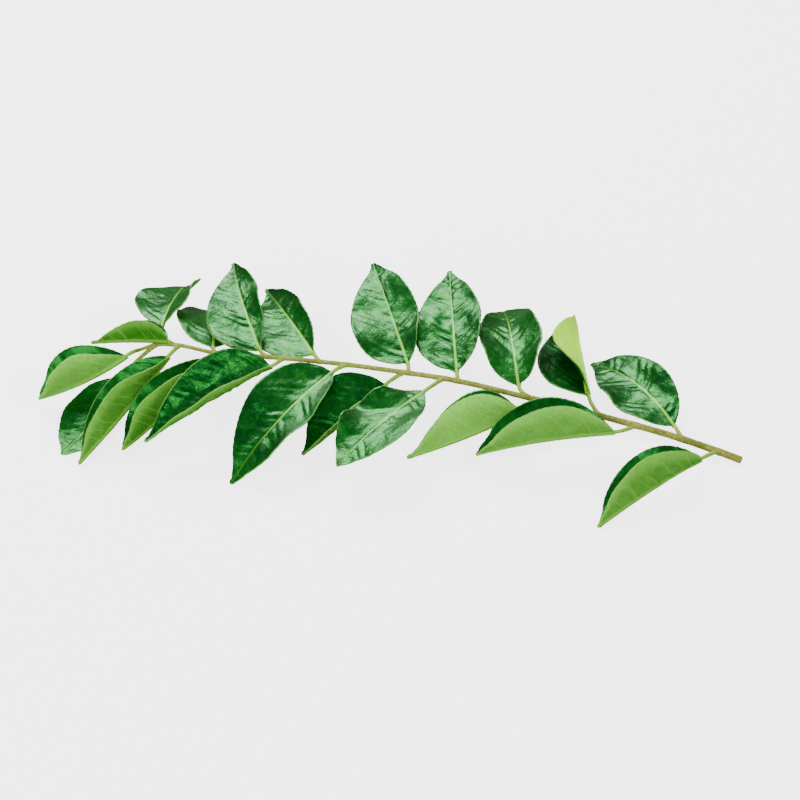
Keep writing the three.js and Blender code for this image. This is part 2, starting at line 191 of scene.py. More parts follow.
# The fine surface: cells, the scalloped edge, the furrows over the side veins, the quilting
# between them and the puckers and hollows that break up the sheen.
bladeDetail = {
    "cellsAlong": 132, "cellsAcross": 48, "tipCrowding": 0.6, "ribCrowding": 1.2,
    "scallopPitch": 1.9, "scallopDepth": 0.12, "scallopReach": 9, "scallopFullWidth": 4,
    "veinSpacing": 4.4, "veinLean": 0.5, "veinCurve": 0.035, "veinRightShift": 0.45,
    "veinJitter": 0.34, "jitterRate": 2.3, "jitterPhase": 5, "veinSway": 0.22, "swaySize": (6, 4),
    "furrowWidth": 0.4, "furrowDepth": 0.12, "quiltHeight": 0.2,
    "marginPower": 4, "ribClear": 1.2, "tipFade": 0.25,  # how furrows and quilting die out
    "patchSize": (7, 5), "patchSideStep": 3, "patchLeast": 0.1, "patchEven": 0.8, "patchUneven": 1.3,
    "pucker": 0.075, "puckerSize": 1.4, "dimple": 0.16, "dimpleSize": 3.2,
    "undulation": 0.7, "undulationSize": 7.5, "undulationRise": 4,
    "foldedUndulation": 0.45, "fullFold": 110,  # how much of it is left on a folded blade
    "ribFurrow": 0.17, "ribFurrowWidth": 0.45, "ribFurrowOpening": 0.5,
    "sharpFold": 130, "sharpFoldSpan": 10, "sharpFoldReach": 3,
    "seedStep": 9, "spotSeedStep": 40,  # how far apart the leaflets lie in the noise
}


def mix(a, b, t):
    return a + (b - a) * t


def outlineAt(leaf, share, side):
    form = bladeForm
    widest = leaf["belly"] * (1 - form["obliqueShift"] * leaf["oblique"] * side)
    rise = (share / widest) ** (form["fullness"] * widest)
    fall = ((1 - share) / (1 - widest)) ** (form["fullness"] * (1 - widest))
    return rise * fall


def halfWidthAt(leaf, share, side):
    form = bladeForm
    most = leaf["width"] / 2 * (1 + leaf["oblique"] * side)
    pinch = form["tipPinch"] * exp(-((share - form["pinchAt"]) / form["pinchReach"]) ** 2)
    blade = most * outlineAt(leaf, share, side) * (1 - pinch)
    fromTip = (1 - share) * leaf["length"] / form["tipHalfWidth"]
    tip = form["tipHalfWidth"] * sqrt(max(0, 1 - max(0, 1 - fromTip) ** 2)) * share ** form["endPower"]
    base = form["stalkHalfWidth"] * (1 - share) ** form["endPower"]
    return max(blade, tip, base, form["leastHalfWidth"])


def ribDirection(leaf, share):
    bent = share ** bladeForm["bendPower"]
    heading = radians(leaf["heading"] + leaf["sway"] * bent)
    pitch = radians(leaf["rise"] - leaf["droop"] * bent)
    return Vector((cos(pitch) * cos(heading), cos(pitch) * sin(heading), sin(pitch)))


def ribPoint(leaf, share):
    steps = bladeForm["bendSteps"]
    point = Vector(leaf["base"])
    for i in range(steps):
        point += ribDirection(leaf, share * (i + 0.5) / steps) * (leaf["length"] * share / steps)
    return point


def liftOntoSurface(point):
    # what would sink through the surface lies on it, and comes down to it in a soft curve
    floor = bladeForm["thickness"] / 2
    softness = bladeForm["softness"]
    over = point.z - floor
    if over < -softness:
        point.z = floor
    elif over < softness:
        point.z = floor + (over + softness) ** 2 / (4 * softness)
    return point


def openness(leaf):
    # 1 for a blade that is hardly folded, 0 for one with a sharp crease
    creased, openFold = bladeForm["creasedFold"], bladeForm["openFold"]
    return max(0, min(1, (creased - sum(leaf["fold"])) / (creased - openFold)))


def stationAt(leaf, share):
    # what all the points across the blade have in common at one share of its length
    form = bladeForm
    along = ribDirection(leaf, share)
    left = Vector((0, 0, 1)).cross(along).normalized()
    top = along.cross(left)
    turn = Matrix.Rotation(radians(leaf["roll"] + leaf["twist"] * share), 3, along)
    ease = 1 - form["foldEase"] * (2 * share - 1) ** 2
    ripple = 2 * pi * form["rippleTurns"] * share + form["ripplePhase"] * leaf["phase"]
    # a blade that is hardly folded runs through its rib in a round valley and not in a crease
    narrower = min(halfWidthAt(leaf, share, side) for side in (1, -1))
    valley = min(form["valleyReach"], form["valleyShare"] * narrower)
    lift = openness(leaf) * tan(radians(sum(leaf["fold"]) / 2) * ease) * valley / 2
    return {"share": share, "rib": ribPoint(leaf, share), "left": turn @ left, "top": turn @ top,
            "ease": ease, "ripple": ripple, "valley": valley, "lift": lift}


def sheetPoint(leaf, station, across):
    # a point on the middle of the sheet, across from -1 (right) to 1 (left), and its arc from the rib
    form, detail = bladeForm, bladeDetail
    share = station["share"]
    side = -1 if across < 0 else 1
    half = 0 if side > 0 else 1
    reach = abs(across)
    scallop = detail["scallopDepth"] * abs(sin(pi * share * leaf["length"] / detail["scallopPitch"]))
    halfWidth = halfWidthAt(leaf, share, side)
    halfWidth += scallop * reach ** detail["scallopReach"] * min(1, halfWidth / detail["scallopFullWidth"])
    fold = radians(leaf["fold"][half]) * station["ease"]
    curl = radians(leaf["cup"][half]) or 1e-6  # a flat half is a curl too small to see
    outer = fold + curl * reach
    sideways = halfWidth * (sin(outer) - sin(fold)) / curl
    upwards = halfWidth * (cos(fold) - cos(outer)) / curl
    height = leaf["wave"][half] * (reach * outlineAt(leaf, share, side)) ** form["ripplePower"]
    height *= sin(station["ripple"] + half * form["rippleRightShift"])
    upwards += station["lift"] * max(0, 1 - halfWidth * reach / station["valley"]) ** 2
    point = station["rib"].copy()
    point += station["left"] * (side * (sideways - height * sin(outer)))
    point += station["top"] * (upwards + height * cos(outer))
    return liftOntoSurface(point), halfWidth * reach


def veinPhase(leaf, alongMm, arc, side):
    # counts the side veins passed on the way to the tip: a whole number lies on a vein
    detail = bladeDetail
    start = alongMm - detail["veinLean"] * arc - detail["veinCurve"] * arc ** 2
    phase = start / detail["veinSpacing"] + leaf["phase"] + (detail["veinRightShift"] if side < 0 else 0)
    jitter = sin(phase * detail["jitterRate"] + leaf["phase"] * detail["jitterPhase"])
    phase += detail["veinJitter"] * jitter
    sizeAlong, sizeAcross = detail["swaySize"]
    seed = leaf["phase"] * detail["seedStep"] + side
    return phase + detail["veinSway"] * noise.noise(Vector((alongMm / sizeAlong, arc / sizeAcross, seed)))


def fromVeinMm(phase):
    return abs(phase - round(phase)) * bladeDetail["veinSpacing"]


def reliefAt(leaf, alongMm, arc, reach, side, phase):
    # how far the fine surface stands above the smooth sheet
    detail = bladeDetail
    bothFolds = sum(leaf["fold"])
    sizeAlong, sizeAcross = detail["patchSize"]
    seed = leaf["phase"] * detail["seedStep"] + side * detail["patchSideStep"]
    patch = noise.noise(Vector((alongMm / sizeAlong, arc / sizeAcross, seed)))
    uneven = max(detail["patchLeast"], detail["patchEven"] + detail["patchUneven"] * patch)
    inward = (1 - reach ** detail["marginPower"]) * min(1, arc / detail["ribClear"])
    fromTip = min(1, (1 - alongMm / leaf["length"]) / detail["tipFade"])
    furrow = -detail["furrowDepth"] * exp(-(fromVeinMm(phase) / detail["furrowWidth"]) ** 2)
    quilt = detail["quiltHeight"] * sin(pi * phase) ** 2
    rib = -detail["ribFurrow"] * (1 - detail["ribFurrowOpening"] * openness(leaf))
    rib *= exp(-(arc / detail["ribFurrowWidth"]) ** 2)
    spot = Vector((alongMm, arc * side, leaf["phase"] * detail["spotSeedStep"]))
    pucker = detail["pucker"] * noise.noise(spot / detail["puckerSize"])
    dimple = detail["dimple"] * noise.noise(spot / detail["dimpleSize"])
    undulation = detail["undulation"] * noise.noise(spot / detail["undulationSize"])
    undulation *= min(1, arc / detail["undulationRise"])
    undulation *= mix(1, detail["foldedUndulation"], min(1, bothFolds / detail["fullFold"]))
    relief = (furrow + quilt) * (leaf["quilt"] * uneven) * inward * fromTip + rib
    relief += (pucker + dimple) * min(1, arc)
    relief += undulation
    # a sharp crease stays smooth close to its rib
    creased = min(1, max(0, bothFolds - detail["sharpFold"]) / detail["sharpFoldSpan"])
    return relief * (1 - creased * (1 - min(1, arc / detail["sharpFoldReach"])))


def spread(t, power):
    # keeps -1, 0 and 1 and crowds what lies between towards 0
    return abs(t) ** power * (1 if t > 0 else -1)


def shapeBlade(bm, leaf):
    # bends a flat grid to the blade's sheet, and notes for its finish where each point of it lies
    detail, form = bladeDetail, bladeForm
    bladeMm = bm.verts.layers.float_vector.new("bladeMm")
    vein = bm.verts.layers.float.new("vein")
    pale = bm.verts.layers.float.new("pale")
    paintedLightAndTone = bm.verts.layers.float.new("paintedLightAndTone")
    thick = bm.verts.layers.deform.verify()
    stations = {}
    relief = {}
    for v in bm.verts:
        even = v.co.x + 0.5
        across = spread(2 * v.co.y, detail["ribCrowding"])
        key = round(even * detail["cellsAlong"])
        if key not in stations:
            share = mix(even, (1 - cos(pi * even)) / 2, detail["tipCrowding"])
            stations[key] = stationAt(leaf, min(max(share, 0), 1))
        station = stations[key]
        side = -1 if across < 0 else 1
        v.co, arc = sheetPoint(leaf, station, across)
        alongMm = station["share"] * leaf["length"]
        phase = veinPhase(leaf, alongMm, arc, side)
        v[bladeMm] = Vector((alongMm, side * arc, abs(across)))
        v[vein] = phase
        # how pale and how light each leaflet is drawn, partly its own tone and partly painted light and
        # shade
        v[pale] = leaf["pale"]
        v[paintedLightAndTone] = leaf["paintedLightAndTone"]
        onVein = exp(-(fromVeinMm(phase) / detail["furrowWidth"]) ** 2)
        onVein *= 1 - abs(across) ** detail["marginPower"]
        onRib = exp(-(arc / form["ribWidth"]) ** 2) * (1 - form["ribThinning"] * station["share"])
        v[thick][0] = min(1, onRib + form["veinThickness"] * onVein)
        relief[v] = reliefAt(leaf, alongMm, arc, abs(across), side, phase)
    bm.normal_update()
    up = stationAt(leaf, 0.5)["top"]
    if sum(f.normal @ up for f in bm.faces) <= 0:
        bmesh.ops.reverse_faces(bm, faces=bm.faces)
        bm.normal_update()
    for v in bm.verts:
        v.co += v.normal * (relief[v] + form["thickness"] / 2)
        v.co.z = max(v.co.z, mix(form["thickness"], form["ribThickness"], v[thick][0]))


def makeBlade(name, leaf, materials):
    # one sheet shaped from a grid, thickened downwards, more so at its rib and veins
    detail, form = bladeDetail, bladeForm
    bm = bmesh.new()
    bm.loops.layers.uv.new("UVMap")
    bmesh.ops.create_grid(bm, x_segments=detail["cellsAlong"], y_segments=detail["cellsAcross"],
                          size=0.5, calc_uvs=True)
    shapeBlade(bm, leaf)
    for f in bm.faces:
        f.smooth = True
    blade = finishPiece(bm, name.replace("leaflet", "blade"), materials)
    blade.vertex_groups.new(name="rib")
    wall = blade.modifiers.new("blade thickness", "SOLIDIFY")
    wall.thickness = form["ribThickness"] * mm
    wall.offset = -1
    wall.vertex_group = "rib"
    wall.thickness_vertex_group = form["thickness"] / form["ribThickness"]
    wall.use_quality_normals = True
    wall.material_offset = 1
    wall.material_offset_rim = 2
    return blade


def finishPiece(bm, name, materials):
    # from the sprig's layout in millimetres to the part's frame in metres, as an object
    for v in bm.verts:
        v.co = (v.co - Vector((*footprintMiddle, 0))) * mm
    mesh = bpy.data.meshes.new(name)
    bm.to_mesh(mesh)
    bm.free()
    for material in materials:
        mesh.materials.append(material)
    piece = bpy.data.objects.new(name, mesh)
    bpy.context.scene.collection.objects.link(piece)
    return piece


# The stem's centreline, from the cut end to the growing tip, where the last leaflet grows on from it.
stemPath = [
    (95, 5.4, 0.95), (87, 6.6, 2.1), (77, 7.4, 3.8), (59, 7.2, 6.9), (36, 6.6, 10.3),
    (15, 6.0, 13.0), (-2, 4.4, 14.4), (-20, 2.8, 15.2), (-40, 0.4, 15.6), (-54, -1.2, 15.7),
    (-64, 0.2, 15.3), (-71, 0.2, 14.2), (-76, -1.6, 12.6),
]
stemForm = {
    "cutRadius": 1.05, "tipRadius": 0.5, "taperPower": 0.8, "sides": 24, "stepsPerSpan": 44,
    "swelling": 0.09, "swellingReach": 1.5,  # where the stalks grow out
    "cutRounding": 0.5, "cutEdge": 0.6,  # how far in the cut edge starts to round, and to what share
    "ridges": 5, "ridgeHeight": 0.035, "roughHeight": 0.05, "roughSize": 1.3, "tipTone": 0.15,
}
stalkForm = {
    "rootRadius": 0.64, "endRadius": 0.55, "taperHaste": 1.2, "sides": 16, "steps": 26,
    "footFlare": 0.14, "flareReach": 1.1, "turnShare": 0.45,
    "runOn": 0.1, "runOnSteps": 8, "runOnRadius": 0.16,  # how it ends along the blade's underside
    "sinkBelow": 0.12, "sinkSteps": 3, "roughHeight": 0.04, "roughSize": 0.9, "footTone": 0.25,
}


def curveThrough(points, stepsPerSpan):
    # a smooth line through the points, whose knots are set by the roots of their distances
    points = [Vector(p) for p in points]
    points = [2 * points[0] - points[1], *points, 2 * points[-1] - points[-2]]
    line = []
    for a, b, c, d in zip(points, points[1:], points[2:], points[3:]):
        knots = [0.0]
        for p, q in ((a, b), (b, c), (c, d)):
            knots.append(knots[-1] + sqrt((q - p).length))
        ka, kb, kc, kd = knots
        for i in range(stepsPerSpan):
            k = mix(kb, kc, i / stepsPerSpan)
            ab = a.lerp(b, (k - ka) / (kb - ka))
            bc = b.lerp(c, (k - kb) / (kc - kb))
            cd = c.lerp(d, (k - kc) / (kd - kc))
            abc = ab.lerp(bc, (k - ka) / (kc - ka))
            bcd = bc.lerp(cd, (k - kb) / (kd - kb))
            line.append(abc.lerp(bcd, (k - kb) / (kc - kb)))
    line.append(points[-2])
    return line


def lengthsAlong(line):
    run = [0.0]
    for p, q in zip(line, line[1:]):
        run.append(run[-1] + (q - p).length)
    return run


def makeTube(bm, line, radiusAt, toneAt, form):
    # a grid rolled up round the line, closed where it meets itself and at both ends
    run = lengthsAlong(line)
    last = len(line) - 1
    grown = bmesh.ops.create_grid(bm, x_segments=last, y_segments=form["sides"], size=0.5)["verts"]
    tone = bm.verts.layers.float["tone"]
    for v in grown:
        i = round((v.co.x + 0.5) * last)
        angle = 2 * pi * (v.co.y + 0.5)
        share = run[i] / run[-1]
        ahead = (line[min(i + 1, last)] - line[max(i - 1, 0)]).normalized()
        across = Vector((0, 0, 1)).cross(ahead).normalized()
        outward = across * cos(angle) + ahead.cross(across) * sin(angle)
        rough = form["roughHeight"] * noise.noise((line[i] + outward) / form["roughSize"])
        v.co = line[i] + outward * (radiusAt(share, angle) + rough)
        v.co.z = max(v.co.z, 0)
        v[tone] = toneAt(share)
    bmesh.ops.remove_doubles(bm, verts=grown, dist=1e-4)
    bmesh.ops.holes_fill(bm, edges=[e for e in bm.edges if e.is_boundary], sides=0)


stemLine = curveThrough(stemPath, stemForm["stepsPerSpan"])
stemRun = lengthsAlong(stemLine)


def stemPlace(x):
    # the point of the stem's line at a given x, and its share of the stem's length
    i = next(i for i in range(1, len(stemLine)) if stemLine[i].x <= x)
    t = (stemLine[i - 1].x - x) / (stemLine[i - 1].x - stemLine[i].x)
    return stemLine[i - 1].lerp(stemLine[i], t), mix(stemRun[i - 1], stemRun[i], t) / stemRun[-1]


def growsOn(leaf):
    # whether the stem itself runs on into this leaflet
    return leaf["stemX"] <= stemPath[-1][0]


def makeStem(material):
    form = stemForm
    nodes = [stemPlace(leaf["stemX"])[1] for leaf in leaflets.values() if not growsOn(leaf)]

    def radiusAt(share, angle):
        bare = mix(form["cutRadius"], form["tipRadius"], share ** form["taperPower"])
        nearest = min(abs(share - node) for node in nodes) * stemRun[-1]
        swell = form["swelling"] * exp(-(nearest / form["swellingReach"]) ** 2)
        fromCut = min(1, share * stemRun[-1] / form["cutRounding"])
        rounded = mix(form["cutEdge"], 1, sqrt(1 - (1 - fromCut) ** 2))
        return bare * rounded * (1 + form["ridgeHeight"] * sin(form["ridges"] * angle)) + swell

    bm = bmesh.new()
    bm.verts.layers.float.new("tone")
    makeTube(bm, stemLine, radiusAt, lambda share: form["tipTone"] * share, form)
    for leaf in leaflets.values():
        makeStalk(bm, leaf)
    bmesh.ops.recalc_face_normals(bm, faces=bm.faces)
    for f in bm.faces:
        f.smooth = len(f.verts) == 4  # the ends are flat cuts
    return finishPiece(bm, "rachis", [material])


def makeStalk(bm, leaf):
    # from the stem's middle, round into the leaflet's rib and on along its underside
    form = stalkForm
    root = Vector(stemPath[-1]) if growsOn(leaf) else stemPlace(leaf["stemX"])[0]
    base = Vector(leaf["base"])
    reach = (base - root).length
    turn = base - ribDirection(leaf, 0) * (form["turnShare"] * reach)
    line = []
    for i in range(form["steps"] + 1):
        t = i / form["steps"]
        line.append(root.lerp(turn, t).lerp(turn.lerp(base, t), t))
    under = bladeForm["thickness"] / 2 + form["sinkBelow"]
    for i in range(1, form["runOnSteps"] + 1):
        station = stationAt(leaf, form["runOn"] * i / form["runOnSteps"])
        sunk = under * min(1, i / form["sinkSteps"])
        line.append(station["rib"] + station["top"] * (station["lift"] - sunk))
    whole = lengthsAlong(line)[-1]
    stalkShare = reach / whole
    rootRadius = form["endRadius"] if growsOn(leaf) else form["rootRadius"]
    footFlare = 0 if growsOn(leaf) else form["footFlare"]

    def radiusAt(share, angle):
        if share >= stalkShare:
            return mix(form["endRadius"], form["runOnRadius"], (share - stalkShare) / (1 - stalkShare))
        flare = footFlare * exp(-(share * whole / form["flareReach"]) ** 2)
        return mix(rootRadius, form["endRadius"], min(1, share / stalkShare * form["taperHaste"])) + flare

    def toneAt(share):
        return mix(form["footTone"], 1, min(1, share / stalkShare))

    makeTube(bm, line, radiusAt, toneAt, form)


def hexColour(text):
    # an sRGB hex colour as linear red, green, blue and alpha
    channels = [int(text[i:i + 2], 16) / 255 for i in (1, 3, 5)]
    linear = [c / 12.92 if c <= 0.04045 else ((c + 0.055) / 1.055) ** 2.4 for c in channels]
    return (*linear, 1)


def addNode(tree, kind, inputs, **settings):
    # Adds a node with its settings. Its inputs come by name, or as a list in the order of its live
    # sockets, and a node that is given as an input is linked from its first live output.
    node = tree.nodes.new("ShaderNode" + kind)
    for name, value in settings.items():
        setattr(node, name, value)
    if isinstance(inputs, list):
        pairs = zip([socket for socket in node.inputs if socket.enabled], inputs)
    else:
        pairs = [(node.inputs[name], value) for name, value in inputs.items()]
    for socket, value in pairs:
        if isinstance(value, bpy.types.Node):
            value = next(output for output in value.outputs if output.enabled)
        if isinstance(value, bpy.types.NodeSocket):
            tree.links.new(value, socket)
        else:
            socket.default_value = value
    return node


smoothStep = {"interpolation_type": "SMOOTHSTEP"}  # settings that many of the nodes share
inColour = {"data_type": "RGBA"}


def newMaterial(name):
    material = bpy.data.materials.new(name)
    material.use_nodes = True
    tree = material.node_tree
    tree.nodes.clear()
    return material, tree


veinsFade = (0.6, 0.98)  # where the side veins fade out, as shares of the way to the margin


def bladeMasks(tree):
    # where a point of a blade is: how far along and out from the rib, its place between two side
    # veins and how near the margin, with how pale its leaflet is and how light its top is, both partly
    # painted light and shade
    blade = addNode(tree, "Attribute", {}, attribute_name="bladeMm").outputs["Vector"]
    along, across, reach = addNode(tree, "SeparateXYZ", [blade]).outputs
    phase = addNode(tree, "Attribute", {}, attribute_name="vein").outputs["Fac"]
    return {"blade": blade, "along": along, "reach": reach,
            "arc": addNode(tree, "Math", [across], operation="ABSOLUTE"),
            "inward": addNode(tree, "MapRange", [reach, *veinsFade, 1, 0], **smoothStep),
            "fromVein": addNode(tree, "Math", [phase, 0.5], operation="PINGPONG"),
            "pale": addNode(tree, "Attribute", {}, attribute_name="pale").outputs["Fac"],
            "paintedLightAndTone": addNode(tree, "Attribute", {}, attribute_name="paintedLightAndTone").outputs["Fac"],
            "object": addNode(tree, "TexCoord", {}).outputs["Object"]}


# Sizes are in millimetres and strengths are shares of the colour laid on.
# The top's lightest green is laid on leaflet by leaflet, partly as its own tone and partly as painted light
# and shade.
waxyTop = {
    "dark": "#032507", "mid": "#083c0d", "paintedLightAndTone": "#1b6414", "vein": "#1f6a1a", "rib": "#7db838",
    "margin": "#93c46c", "patchSize": 14, "mottleSize": 1.6, "mottleStrength": 0.25, "paintedLightAndToneStrength": 0.2,
    "veinStrength": 0.35, "ribHalfWidth": 0.5, "ribTaper": 0.008, "ribStrength": (0.9, 0.2),
    "ribFades": (10, 38), "marginStrength": 0.5, "netSize": 1.1, "netHeight": 0.5, "mottleHeight": 0.9,
    "bumpStrength": 0.5, "bumpDepth": 0.085, "roughness": (0.28, 0.38),
}


def waxyLeafTop():
    # A grown leaf's cuticle: smooth wax over green, which gives a satin sheen that breaks up over
    # the quilting, with a pale rib and a thin pale margin. Its gloss is tinted green, a painted reflection
    # of green leaves round it.
    top = waxyTop
    material, tree = newMaterial("waxy leaf top")
    at = bladeMasks(tree)
    broad = addNode(tree, "TexNoise", {
        "Vector": at["object"], "Scale": 1 / (top["patchSize"] * mm), "Detail": 3, "Roughness": 0.5})
    fine = addNode(tree, "TexNoise", {
        "Vector": at["object"], "Scale": 1 / (top["mottleSize"] * mm), "Detail": 3, "Roughness": 0.6})
    patches = addNode(tree, "MapRange", [broad, 0.35, 0.68, 0, 1], **smoothStep)
    mottle = addNode(tree, "MapRange", [fine, 0.45, 0.75, 0, top["mottleStrength"]], **smoothStep)
    # each leaflet's own amount lightens its top: partly its tone, partly painted light, and where it is
    # low, painted shade
    paintedLightAndTone = addNode(tree, "Math", [at["paintedLightAndTone"], top["paintedLightAndToneStrength"], mottle], operation="MULTIPLY_ADD")
    vein = addNode(tree, "MapRange", [at["fromVein"], 0.01, 0.05, top["veinStrength"], 0], **smoothStep)
    vein = addNode(tree, "Math", [vein, at["inward"]], operation="MULTIPLY")
    # the rib narrows and fades towards the tip
    narrowing = [at["along"], -top["ribTaper"], top["ribHalfWidth"]]
    ribEdge = addNode(tree, "Math", narrowing, operation="MULTIPLY_ADD")
    acrossRib = addNode(tree, "Math", [at["arc"], ribEdge], operation="DIVIDE")
    rib = addNode(tree, "MapRange", [acrossRib, 0.55, 1.05, 1, 0], **smoothStep)
    fading = addNode(tree, "MapRange", [at["along"], *top["ribFades"], *top["ribStrength"]], **smoothStep)
    rib = addNode(tree, "Math", [rib, fading], operation="MULTIPLY")
    margin = addNode(tree, "MapRange", [at["reach"], 0.975, 0.995, 0, top["marginStrength"]], **smoothStep)
    colour = hexColour(top["dark"])
    for mask, tint in ((patches, "mid"), (paintedLightAndTone, "paintedLightAndTone"), (vein, "vein"), (rib, "rib"),
                       (margin, "margin")):
        colour = addNode(tree, "Mix", [mask, colour, hexColour(top[tint])], **inColour)
    # The finest veins close in cells that stand a little proud. The real ones are about half a
    # millimetre across, and these are drawn twice as coarse, so that they show.
    net = addNode(tree, "TexVoronoi", {"Vector": at["blade"], "Scale": 1 / top["netSize"]},
                  feature="DISTANCE_TO_EDGE")
    cells = addNode(tree, "MapRange", [net, 0, 0.3, 0, top["netHeight"]], **smoothStep)
    height = addNode(tree, "Math", [fine, top["mottleHeight"], cells], operation="MULTIPLY_ADD")
    # the green Specular Tint is a painted reflection of green leaves round the sprig
    shader = addNode(tree, "BsdfPrincipled", {
        "Base Color": colour, "IOR": 1.5, "Specular IOR Level": 0.75, "Specular Tint": hexColour("#50ff6c"),
        "Roughness": addNode(tree, "MapRange", [fine, 0.3, 0.7, *top["roughness"]], **smoothStep),
        "Normal": addNode(tree, "Bump", {
            "Height": height, "Strength": top["bumpStrength"], "Distance": top["bumpDepth"] * mm}),
        "Subsurface Weight": 0.15, "Subsurface Radius": (0.3, 1.0, 0.1), "Subsurface Scale": 0.5 * mm})
    addNode(tree, "OutputMaterial", {"Surface": shader})
    return material


# The pale and lime greens are laid on leaflet by leaflet, partly as the underside's own tone and partly as
# painted light.
mattUnderside = {
    "deep": "#2a7210", "green": "#3c8620", "dark": "#1c5508", "pale": "#9ce85c", "paintedLightAndTone": "#b4ff30",
    "gland": "#255612", "vein": "#93cc60", "rib": "#7db838", "patchSize": 9, "grainSize": 0.9,
    "mottleSize": 2.4, "mottleStrength": 0.4, "outerPaleness": 0.3, "speckSize": 0.8,
    "speckStrength": (0.2, 0.05), "glandSpacing": 1.3, "glandStrength": 0.3, "veinStrength": 0.2,
    "veinHeight": 0.8, "ribStrength": 0.6, "bumpStrength": 0.35, "bumpDepth": 0.1,
    "roughness": (0.55, 0.68),
}


def mattLeafUnderside():
    # The underside has no gloss and many air pores: paler, matt, with its veins standing out and
    # the dark dots of its oil glands, which are drawn further apart than real ones, so that they show.
    under = mattUnderside
    material, tree = newMaterial("matt leaf underside")
    at = bladeMasks(tree)
    noises = []
    for size, detail, roughness in ((under["patchSize"], 3, 0.5), (under["grainSize"], 2, 0.6),
                                    (under["mottleSize"], 4, 0.65), (under["speckSize"], 3, 0.7)):
        noises.append(addNode(tree, "TexNoise", {
            "Vector": at["object"], "Scale": 1 / (size * mm), "Detail": detail, "Roughness": roughness}))
    broad, fine, lumps, dots = noises
    patches = addNode(tree, "MapRange", [broad, 0.3, 0.7, 0, 1], **smoothStep)
    mottle = addNode(tree, "MapRange", [lumps, 0.42, 0.66, 0, under["mottleStrength"]], **smoothStep)
    outwards = addNode(tree, "MapRange", [at["reach"], 0.5, 1, 0, under["outerPaleness"]], **smoothStep)
    # each leaflet's paleness is partly its own tone and partly painted light on an underside lit through or
    # from the front
    pale = addNode(tree, "Math", [at["pale"], outwards], operation="ADD", use_clamp=True)
    # past 1 it turns lime, painted light on a brightly lit underside as well as its tone
    paintedLightAndTone = addNode(tree, "MapRange", [at["pale"], 1, 1.5, 0, 1], **smoothStep)
    speck = addNode(tree, "MapRange", [dots, 0.35, 0.65, 0, 1], **smoothStep)
    speckStrength = addNode(tree, "MapRange", [at["pale"], 1, 1.5, *under["speckStrength"]], **smoothStep)
    speck = addNode(tree, "Math", [speck, speckStrength], operation="MULTIPLY")
    glands = addNode(tree, "TexVoronoi", {"Vector": at["blade"], "Scale": 1 / under["glandSpacing"]})
    gland = addNode(tree, "MapRange", [glands, 0.1, 0.22, under["glandStrength"], 0], **smoothStep)
    veinLine = addNode(tree, "MapRange", [at["fromVein"], 0.01, 0.1, 1, 0], **smoothStep)
    veinLine = addNode(tree, "Math", [veinLine, at["inward"]], operation="MULTIPLY")
    vein = addNode(tree, "Math", [veinLine, under["veinStrength"]], operation="MULTIPLY")
    rib = addNode(tree, "MapRange", [at["arc"], 0.25, 0.6, under["ribStrength"], 0], **smoothStep)
    colour = hexColour(under["deep"])
    for mask, tint in ((patches, "green"), (mottle, "dark"), (pale, "pale"), (paintedLightAndTone, "paintedLightAndTone"),
                       (speck, "dark"), (gland, "gland"), (vein, "vein"), (rib, "rib")):
        colour = addNode(tree, "Mix", [mask, colour, hexColour(under[tint])], **inColour)
    height = addNode(tree, "Math", [veinLine, under["veinHeight"], fine], operation="MULTIPLY_ADD")
    shader = addNode(tree, "BsdfPrincipled", {
        "Base Color": colour, "IOR": 1.4, "Specular IOR Level": 0.3, "Specular Tint": hexColour("#c9ff9c"),
        "Roughness": addNode(tree, "MapRange", [fine, 0.3, 0.7, *under["roughness"]], **smoothStep),
        "Normal": addNode(tree, "Bump", {
            "Height": height, "Strength": under["bumpStrength"], "Distance": under["bumpDepth"] * mm}),
        "Subsurface Weight": 0.4, "Subsurface Radius": (0.45, 1.0, 0.12), "Subsurface Scale": 0.8 * mm})
    addNode(tree, "OutputMaterial", {"Surface": shader})
    return material


clearMargin = {"deep": "#3d7a1c", "light": "#5f9a34", "grainSize": 1.2}


def leafMargin():
    # The margin is clear tissue with no green in it, so it catches the light as a pale line.
    material, tree = newMaterial("clear leaf margin")
    fine = addNode(tree, "TexNoise", {
        "Vector": addNode(tree, "TexCoord", {}).outputs["Object"],
        "Scale": 1 / (clearMargin["grainSize"] * mm), "Detail": 2, "Roughness": 0.5})
    deep, light = hexColour(clearMargin["deep"]), hexColour(clearMargin["light"])
    shader = addNode(tree, "BsdfPrincipled", {
        "Base Color": addNode(tree, "Mix", [fine, deep, light], **inColour),
        "Roughness": 0.45, "IOR": 1.45, "Subsurface Weight": 0.4,
        "Subsurface Radius": (0.6, 1.0, 0.3), "Subsurface Scale": 0.6 * mm})
    addNode(tree, "OutputMaterial", {"Surface": shader})
    return material


rind = {
    "brown": "#6b6d20", "light": "#848637", "green": "#7cb22e", "pore": "#b9b868", "dark": "#474713",
    "patchSize": 6, "speckSize": 0.7, "speckStrength": 0.55, "bumpStrength": 0.6, "bumpDepth": 0.12,
}


